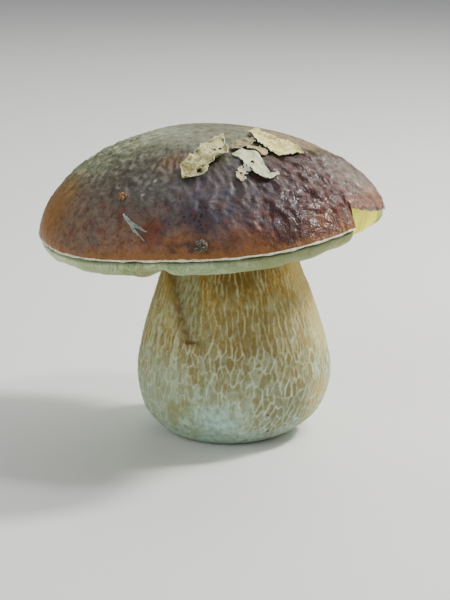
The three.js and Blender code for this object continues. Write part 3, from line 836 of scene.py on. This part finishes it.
stem_rings = len(FOOT_RADII) + SIDE_RINGS + 1
stem_chart = spun_chart([ring / stem_rings for ring in range(stem_rings - 1)] + [0])
ring, angle, _ = chart_values(stem_chart)
is_foot = ring < len(FOOT_RADII)
is_top = ring == stem_rings - 1
side_share = np.clip((ring - len(FOOT_RADII)) / (SIDE_RINGS - 1), 0, 1)
radius, height, along = outline_at(side_share)
radius = np.where(is_foot, np.array(FOOT_RADII)[np.minimum(ring, len(FOOT_RADII) - 1)], radius)
height = np.where(is_foot, 0, height)
places = stem_place(np.where(is_top, 0, radius), angle, height)
stem = add_piece("stem_body", stem_chart, places)
wander = columns(np.cos(angle) * STEM_ROUND, np.sin(angle) * STEM_ROUND, height)
bent = angle + 0.032 * fine_noise(wander, 7, 3)
slid = along + 1.7 * fine_noise(wander + 50, 6, 3)
distance, strength, mesh_number = net_at(bent, np.maximum(slid, 0), radius)
uneven = 0.78 + 0.55 * fine_noise(wander, 5, 2)
on_side = (~is_foot & ~is_top) * eased(along / 12) * eased((84 - along) / 8)
x, in_front = places[:, 0], places[:, 1] < 0
# The front of the foot has no net; its pale colour is tinted blue there as painted sky light
plain_foot = np.exp(-((x + 4) / 9) ** 2 - ((places[:, 2] - 11) / 8.5) ** 2) * in_front

# A strip of the net has peeled off on the left, with a torn edge along it and across its foot
torn_edge = x + 0.7 * fine_noise(wander, 2.5, 2) - PEEL_LEFT - 0.3 * np.maximum(0, 62 - height)
torn_foot = height - PEEL_FOOT + 0.8 * fine_noise(wander + 9, 2, 2)
right_edge = PEEL_RIGHT - x + fine_noise(wander + 30, 3)
peel = eased(torn_edge / 0.8) * eased(right_edge / 1.6) * eased(torn_foot / 1.2) * in_front
# painted shadow: a soft brown band along the torn edge and across the foot of the peel
tear_shadow = np.exp(-((torn_edge / 2.3) ** 2)) * (torn_foot > -0.5)
tear_shadow += np.exp(-(torn_foot ** 2)) * (torn_edge > -0.5)
tear_shadow *= (x < PEEL_RIGHT) * in_front
line = strength * np.exp(-((distance / NET_WIDTH) ** 2)) * np.clip(uneven, 0.25, 1.2)
line = line * on_side * (1 - 0.8 * plain_foot) * (1 - peel)
rough = 0.12 * (fine_noise(wander, 1.4, 2) - 1) * on_side
push_out(stem, NET_HEIGHT * line - PEEL_DEPTH * peel + rough)
note(stem, "net", line)
note(stem, "mesh_number", mesh_number)
note(stem, "height", height)
note(stem, "peel", peel)
note(stem, "tear_shadow", tear_shadow)
note(stem, "plain", plain_foot)
note(stem, "cut", is_foot * 1)

STEM_PATCHES = [
    ((2, -33, 40.6), 3.2, 1.4, 0.7, (0.29, 0.18, 0.045)),
    # painted shadow: the top front of the stem darkened where the cap shades it
    ((4, -24, 72), 14, 7, 0.75, (0.12, 0.06, 0.004)),
    ((-18, -15, 66), 9, 5, 0.7, (0.42, 0.25, 0.01)),
    # painted light: the right edge lightened to cream where light from the right falls on it
    ((33, -10, 42), 9, 6, 0.5, (0.62, 0.52, 0.2)),
    ((26, -10, 62), 8, 5, 0.55, (0.62, 0.46, 0.14)),
    # painted shade: the front right of the stem darkened from the foot up to the middle, as the side away
    # from the light
    ((22, -26, 9), 14, 6, 0.6, (0.16, 0.17, 0.1)),
    ((19, -29, 24), 13, 6, 0.5, (0.2, 0.18, 0.07)),
    ((20, -26, 44), 13, 6, 0.45, (0.2, 0.17, 0.065)),
    ((-2, -33, 42), 14, 7, 0.55, (0.2, 0.14, 0.045)),
    # painted light: the lower left front lightened to a pale blue-green where light from the front left
    # falls
    ((-27, -22, 20), 15, 8, 0.35, (0.48, 0.57, 0.38)),
    # painted light: the right edge of the foot warmed and lightened the same way
    ((33.5, -16, 16.6), 9, 5, 0.45, (0.6, 0.42, 0.13)),
    ((14.2, -31.1, 14.9), 0.9, 0.3, 0.9, (0.02, 0.02, 0.025)),
    ((14.7, -26.6, 7.2), 0.9, 0.3, 0.9, (0.03, 0.02, 0.025)),
]
WORN_PATCHES = [
    ((-19, -26, 16), 3.6, 0.8, 0.7, (0.29, 0.27, 0.1)),
    ((-14.5, -29, 17.5), 2.8, 0.8, 0.7, (0.27, 0.25, 0.09)),
    ((-19.5, -24.5, 11), 2.6, 0.8, 0.7, (0.29, 0.28, 0.12)),
    ((-11, -27, 7.3), 2.6, 0.8, 0.6, (0.3, 0.3, 0.12)),
]
STEM_BANDS = [
    (0, (0.38, 0.5, 0.4)), (0.18, (0.29, 0.32, 0.17)), (0.4, (0.27, 0.22, 0.08)),
    (0.58, (0.32, 0.24, 0.07)), (0.75, (0.34, 0.2, 0.03)), (1, (0.22, 0.1, 0.01)),
]
NET_BANDS = [
    (0, (0.46, 0.66, 0.56)), (0.3, (0.54, 0.64, 0.44)),
    (0.55, (0.52, 0.47, 0.22)), (0.8, (0.5, 0.34, 0.08)),
]
flesh, tree, shader, place = start_material("stem")
streak = speckled(tree, stretched(tree, place, 0.14), 1, 4, 0.65)
mottle = speckled(tree, place, 6, 4, 0.6)
blotch = speckled(tree, place, 2.4, 3, 0.6)
fine = speckled(tree, place, 0.7, 3, 0.6)
height_in = times(tree, noted(tree, "height"), 1 / STEM_TOP)
height_in = computed(tree, "ADD", height_in, ranged(tree, mottle, 0.3, 0.7, -0.13, 0.13))
net_colour = ramp(tree, height_in, NET_BANDS)
own = computed(tree, "ADD", noted(tree, "mesh_number"), ranged(tree, blotch, 0.3, 0.7, -0.4, 0.4))
high = ranged(tree, height_in, 0.35, 0.6, 0.3, 0.8)
base = painted(
    tree, ramp(tree, height_in, STEM_BANDS),
    (ranged(tree, own, 0.5, 1.1, 0, 0.6), net_colour),
    (ranged(tree, own, 0.4, -0.1, 0, 0.5), (0.2, 0.13, 0.035)),
    (times(tree, ranged(tree, streak, 0.48, 0.66), high), net_colour),
    (ranged(tree, streak, 0.44, 0.3, 0, 0.5), (0.17, 0.09, 0.02)),
)
base = patched(tree, base, place, STEM_PATCHES)
worn = ranged(tree, blotch, 0.3, 0.6, 0.4, 0.85)
net_mask = times(tree, ranged(tree, noted(tree, "net"), 0.02, 0.65), worn)
net_grain = painted(tree, net_colour, (ranged(tree, fine, 0.3, 0.7, 0, 0.5), (0.66, 0.72, 0.52)))
base = patched(tree, painted(tree, base, (net_mask, net_grain)), place, WORN_PATCHES)
peeled = mixed(tree, ranged(tree, streak, 0.35, 0.65), colour(0.19, 0.15, 0.05), colour(0.38, 0.4, 0.23))
bluish = mixed(tree, ranged(tree, blotch, 0.35, 0.65), colour(0.3, 0.46, 0.38), colour(0.48, 0.7, 0.6))
cut_flesh = mixed(
    tree, ranged(tree, blotch, 0.35, 0.65), colour(0.62, 0.55, 0.36), colour(0.78, 0.74, 0.56),
)
base = painted(
    tree, base,
    (times(tree, noted(tree, "peel"), 0.85), peeled),
    # painted shadow: soft brown along the peel's torn edges
    (times(tree, noted(tree, "tear_shadow"), ranged(tree, blotch, 0.3, 0.6, 0.2, 0.8)), (0.13, 0.065, 0.02)),
    # painted sky light: the net-free front of the foot, pale and tinted blue
    (times(tree, noted(tree, "plain"), 0.85), bluish),
    (ranged(tree, fine, 0.58, 0.75, 0, 0.3), (0.3, 0.21, 0.1)),
    (noted(tree, "cut"), cut_flesh),
)
tree.links.new(base, shader.inputs["Base Color"])
shader.inputs["Roughness"].default_value = 0.65
shader.inputs["Specular IOR Level"].default_value = 0.25
shader.inputs["Subsurface Weight"].default_value = 0.12
shader.inputs["Subsurface Radius"].default_value = (1.4, 1, 0.6)
shader.inputs["Subsurface Scale"].default_value = 1 * MM
fibres = bumped(tree, streak, 0.5, 0.5)
tree.links.new(bumped(tree, fine, 0.4, 0.25, fibres), shader.inputs["Normal"])
stem.data.materials.append(flesh)
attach(stem, "root")
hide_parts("stem")


# Dry leaf scraps lying on the moist cap, and a forked husk: thin, brittle and bleached, with ragged edges
# that curl up, a few holes and brown stains. Each is given by pairs of places on its two long edges.
LEAF_THICKNESS = 0.28
LEAF_ACROSS = 40
LEAF_ALONG = 96
LEAST_LIFT = 0.35
FORK_START = 0.55
LEAVES = [
    {
        "name": "leaf_left", "node": "leaf_left", "curl": 1.7, "lifted": 2.2, "ragged": 0.17,
        "edges": [
            (-16.3, -41.7, -15.1, -42.6), (-16.2, -37.8, -8.6, -43), (-15.5, -33.8, -6.1, -39.3),
            (-12.8, -30.4, -4.4, -36), (-10.1, -26.9, -2.6, -35.6), (-7.8, -21.5, -1.2, -32.7),
            (-5.1, -17.7, 0, -29.3), (-3.1, -16.3, -0.9, -23.3), (-1.7, -15.2, -1.4, -17.3),
        ],
        "holes": [
            (-10, -40, 0.9), (-8.6, -38.6, 0.6), (-9.4, -41.4, 0.5), (-5, -27, 0.55), (-2.9, -26.2, 0.5),
        ],
        "pale": (0.68, 0.68, 0.34), "dark": (0.22, 0.17, 0.06), "stain": 0.9,
    },
    {
        "name": "leaf_middle", "node": "leaf_middle", "curl": 0.7, "lifted": 0, "ragged": 0.2,
        "edges": [
            (9.9, -13.8, 10.2, -14.9), (7.3, -14.7, 7.6, -20.4), (4.5, -16.8, 5.2, -23.6),
            (2.2, -19.8, 3.2, -25.4), (0.8, -23, 1.4, -26.2),
        ],
        "holes": [], "pale": (0.36, 0.33, 0.18), "dark": (0.17, 0.13, 0.06), "stain": 0.8,
    },
    {
        "name": "leaf_middle_strip", "node": "leaf_middle", "curl": 0.8, "lifted": 0, "ragged": 0.3,
        "edges": [
            (6.6, -22.4, 6.8, -23.6), (9.2, -19.6, 8.9, -23), (11.6, -21.3, 11, -24.8),
            (13.4, -22.3, 12, -26.4), (14.1, -23.9, 13.5, -25.4),
        ],
        "holes": [(9.5, -21.4, 0.5)], "pale": (0.6, 0.5, 0.26), "dark": (0.36, 0.26, 0.1), "stain": 0.6,
    },
    {
        "name": "leaf_crescent", "node": "leaf_crescent", "curl": 1.1, "lifted": 0.8, "ragged": 0.07,
        "edges": [
            (1.4, -29.4, 1.4, -30), (4.8, -26.7, 3.8, -31), (8.3, -25.8, 4.9, -33.3),
            (11.1, -28.4, 6.3, -36.9), (12.9, -33.2, 8.4, -38.8), (14, -36, 11.3, -40),
            (15, -37.3, 14, -40), (16.8, -35.7, 16.3, -38.2), (17.7, -35.3, 17.9, -36),
        ],
        "holes": [(8.6, -32.6, 0.7)], "pale": (0.8, 0.82, 0.54), "dark": (0.5, 0.5, 0.3), "stain": 0.25,
    },
    {
        "name": "leaf_right", "node": "leaf_right", "curl": 1, "lifted": 0.2, "ragged": 0.2,
        "edges": [
            (7.3, -7.1, 7.3, -10.1), (10.2, -6.3, 9.3, -12.7), (12.6, -7, 10.9, -17.6),
            (14.6, -8.6, 12.8, -21.3), (16.8, -10.8, 15.1, -23.3), (19, -11.8, 17.9, -24.2),
            (21.8, -11, 20.6, -24), (24.2, -12.6, 23.2, -19.6), (25.9, -14.7, 25.2, -18.2),
            (27, -16.9, 27, -17.8),
        ],
        "holes": [], "pale": (0.95, 0.9, 0.4), "dark": (0.5, 0.42, 0.14), "stain": 0.4,
    },
    {
        "name": "leaf_scrap", "node": "leaf_scrap", "curl": 0.7, "lifted": 0, "ragged": 0.45,
        "edges": [
            (4.6, -36.9, 5, -36.7), (3.1, -38.6, 5.1, -38), (3.9, -39.7, 6.4, -39.2),
            (2.5, -41, 5.4, -40.8), (3.4, -42.3, 5.9, -42.7), (4.5, -43.4, 4.8, -43.4),
        ],
        "holes": [(4.4, -40, 0.4)], "pale": (0.8, 0.74, 0.5), "dark": (0.42, 0.25, 0.09), "stain": 0.5,
    },
    {
        "name": "leaf_scrap_fibre", "node": "leaf_scrap", "curl": 0, "lifted": 2, "ragged": 0.3,
        "edges": [
            (5, -40, 5.3, -40.3), (6, -38.4, 6.4, -38.6),
            (7.4, -37.7, 7.5, -38.2), (8.3, -36.6, 8.5, -36.7),
        ],
        "holes": [], "pale": (0.95, 0.95, 0.85), "dark": (0.8, 0.8, 0.66), "stain": 0,
    },
    {
        "name": "leaf_scrap_thread", "node": "leaf_scrap", "curl": 0, "lifted": 1.4, "ragged": 0.3,
        "edges": [
            (4.6, -39, 5, -39.1), (5.6, -37.2, 6, -37.3),
            (5.4, -35.6, 5.8, -35.6), (6.5, -34.4, 6.6, -34.5),
        ],
        "holes": [], "pale": (0.95, 0.95, 0.85), "dark": (0.8, 0.8, 0.66), "stain": 0,
    },
    {
        "name": "dry_husk", "node": "dry_husk", "curl": 0.3, "lifted": 0, "ragged": 0.1,
        "edges": [
            (-36.1, -48.2, -36.3, -48.3), (-34.1, -50.2, -34.8, -50.5), (-31.6, -52.6, -33.2, -52.8),
            (-29.8, -54.2, -31.4, -54.5), (-27.9, -55.7, -28.6, -57),
        ],
        "holes": [], "pale": (0.36, 0.38, 0.35), "dark": (0.14, 0.14, 0.13), "stain": 0.2,
    },
]


def skin_over(x, y):
    """The cap's skin above points given by x and y."""
    angle = np.arctan2(y, x - CAP_CENTRE)
    return skin_place(np.hypot(x - CAP_CENTRE, y) / rim_radius(angle), angle)


def add_leaf(leaf, number):
    """A thin curled sheet that follows the skin below it, from a grid whose holes are cut out."""
    sheet = bmesh.new()
    bmesh.ops.create_grid(sheet, x_segments=LEAF_ACROSS, y_segments=LEAF_ALONG, size=0.5)
    grid = np.array([v.co[:] for v in sheet.verts])
    across, along = 2 * grid[:, 0], grid[:, 1] + 0.5
    row = along_curve(np.array(leaf["edges"], float), along)
    edge = columns(along * 14 + number * 7, np.sign(across) * 3, 0)
    torn = 1 + leaf["ragged"] * (1.4 * fine_noise(edge, 2.4) + 1.3 * fine_noise(edge, 0.8, 3))
    part = 0.5 + 0.5 * across * torn
    x = row[:, 0] + (row[:, 2] - row[:, 0]) * part
    y = row[:, 1] + (row[:, 3] - row[:, 1]) * part
    plan = columns(x, y, number * 5)
    lift = 0.75 + leaf["curl"] * (0.55 + 0.6 * fine_noise(plan, 6)) * np.abs(across) ** 2.2
    lift += 0.8 * fine_noise(plan + 20, 3.6, 3) * (0.4 + 0.6 * np.abs(across))
    lift += leaf["lifted"] * np.maximum(across, 0) ** 2 * np.exp(-(((along - 0.5) / 0.25) ** 2))
    places = skin_over(x, y)
    places[:, 2] += np.maximum(lift, LEAST_LIFT)
    gone = np.zeros(len(x), bool)
    for hole_x, hole_y, radius in leaf["holes"]:
        gone |= np.hypot(x - hole_x, y - hole_y) < radius * (1 + 0.5 * fine_noise(plan, 0.6))
    if leaf["name"] == "dry_husk":
        gone |= (along > FORK_START) & (np.abs(across) < 0.1 + 1.6 * (along - FORK_START))
    sheet.verts.ensure_lookup_table()
    bmesh.ops.delete(sheet, geom=[sheet.verts[i] for i in np.nonzero(gone)[0]], context="VERTS")
    kept = ~gone
    piece = add_piece(leaf["name"] + "_sheet", sheet, places[kept])
    length = math.dist(leaf["edges"][0][:2], leaf["edges"][-1][:2])
    note(piece, "across", across[kept])
    note(piece, "along", along[kept] * length)
    depth = piece.modifiers.new("thickness", "SOLIDIFY")
    depth.thickness = LEAF_THICKNESS * MM
    depth.offset = 0
    return piece


def dry_leaf_material(leaf):
    material, tree, shader, place = start_material(leaf["name"])
    across, along = noted(tree, "across"), noted(tree, "along")
    fold = computed(tree, "ABSOLUTE", across)
    mottle = speckled(tree, place, 3.5, 4, 0.65)
    specks = speckled(tree, place, 0.8, 3, 0.6)
    base = mixed(tree, ranged(tree, mottle, 0.35, 0.65), colour(*leaf["dark"]), colour(*leaf["pale"]))
    slant = computed(tree, "SUBTRACT", along, times(tree, fold, 3))
    comb = computed(tree, "ABSOLUTE", computed(tree, "SINE", times(tree, slant, 1.6)))
    veins = computed(tree, "MAXIMUM", ranged(tree, comb, 0.14, 0), ranged(tree, fold, 0.09, 0.03))
    bleached = [part + (1 - part) * 0.25 for part in leaf["pale"]]
    base = painted(
        tree, base,
        (times(tree, veins, 0.25), bleached),
        (times(tree, ranged(tree, mottle, 0.54, 0.66), leaf["stain"]), (0.2, 0.13, 0.055)),
        (ranged(tree, specks, 0.6, 0.68, 0, leaf["stain"]), (0.08, 0.045, 0.02)),
        (ranged(tree, fold, 0.9, 1, 0, 0.6), bleached),
    )
    tree.links.new(base, shader.inputs["Base Color"])
    shader.inputs["Roughness"].default_value = 0.75
    shader.inputs["Specular IOR Level"].default_value = 0.2
    ribs = bumped(tree, veins, 0.5, 0.25)
    tree.links.new(bumped(tree, specks, 0.5, 0.3, ribs), shader.inputs["Normal"])
    return material


for number, leaf in enumerate(LEAVES):
    piece = add_leaf(leaf, number)
    piece.data.materials.append(dry_leaf_material(leaf))
    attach(piece, "root")
    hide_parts(leaf["node"])


# Two crumbs stuck to the cap: a gritty lump of dark soil near the front edge and a bit of orange bark.
CRUMBS = {
    "soil_crumb": {
        "at": (-9.2, -61.5), "radius": 2.2, "rough": 0.5,
        "dark": (0.03, 0.022, 0.015), "pale": (0.3, 0.25, 0.14),
    },
    "bark_crumb": {
        "at": (-36.4, -42), "radius": 1.4, "rough": 0.9,
        "dark": (0.16, 0.06, 0.015), "pale": (0.6, 0.42, 0.2),
    },
}
CRUMB_RISE = 0.6


def add_crumb(name, crumb):
    """A gritty ball pressed into the skin, with its middle a share of its radius above it."""
    ball = bmesh.new()
    bmesh.ops.create_icosphere(ball, subdivisions=6, radius=1)
    unit = np.array([v.co[:] for v in ball.verts])
    x, y = crumb["at"]
    spots = skin_over(np.array([x, x + 0.5, x]), np.array([y, y, y + 0.5]))
    upright = np.cross(spots[1] - spots[0], spots[2] - spots[0])
    upright /= np.linalg.norm(upright)
    lumps = 1 + 0.3 * crumb["rough"] * fine_noise(unit + 3, 0.6, 2)
    grit = 0.13 * np.abs(fine_noise(unit + 9, 0.22, 2))
    middle = spots[0] + upright * crumb["radius"] * CRUMB_RISE
    return add_piece(name, ball, middle + unit * crumb["radius"] * (lumps + grit)[:, None])


for name, crumb in CRUMBS.items():
    piece = add_crumb(name + "_lump", crumb)
    gritty, tree, shader, place = start_material(name)
    grains = add_node(tree, "ShaderNodeTexVoronoi", Vector=place, Scale=1 / (0.55 * MM)).outputs["Distance"]
    base = painted(
        tree, colour(*crumb["pale"]),
        (ranged(tree, grains, 0.25, 0.6), crumb["dark"]),
        (ranged(tree, speckled(tree, place, 1.2), 0.4, 0.6, 0, 0.7), crumb["dark"]),
    )
    tree.links.new(base, shader.inputs["Base Color"])
    shader.inputs["Roughness"].default_value = 0.8
    tree.links.new(bumped(tree, grains, 0.8, 0.4, invert=True), shader.inputs["Normal"])
    piece.data.materials.append(gritty)
    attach(piece, "root")
    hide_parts(name)


low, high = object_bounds()
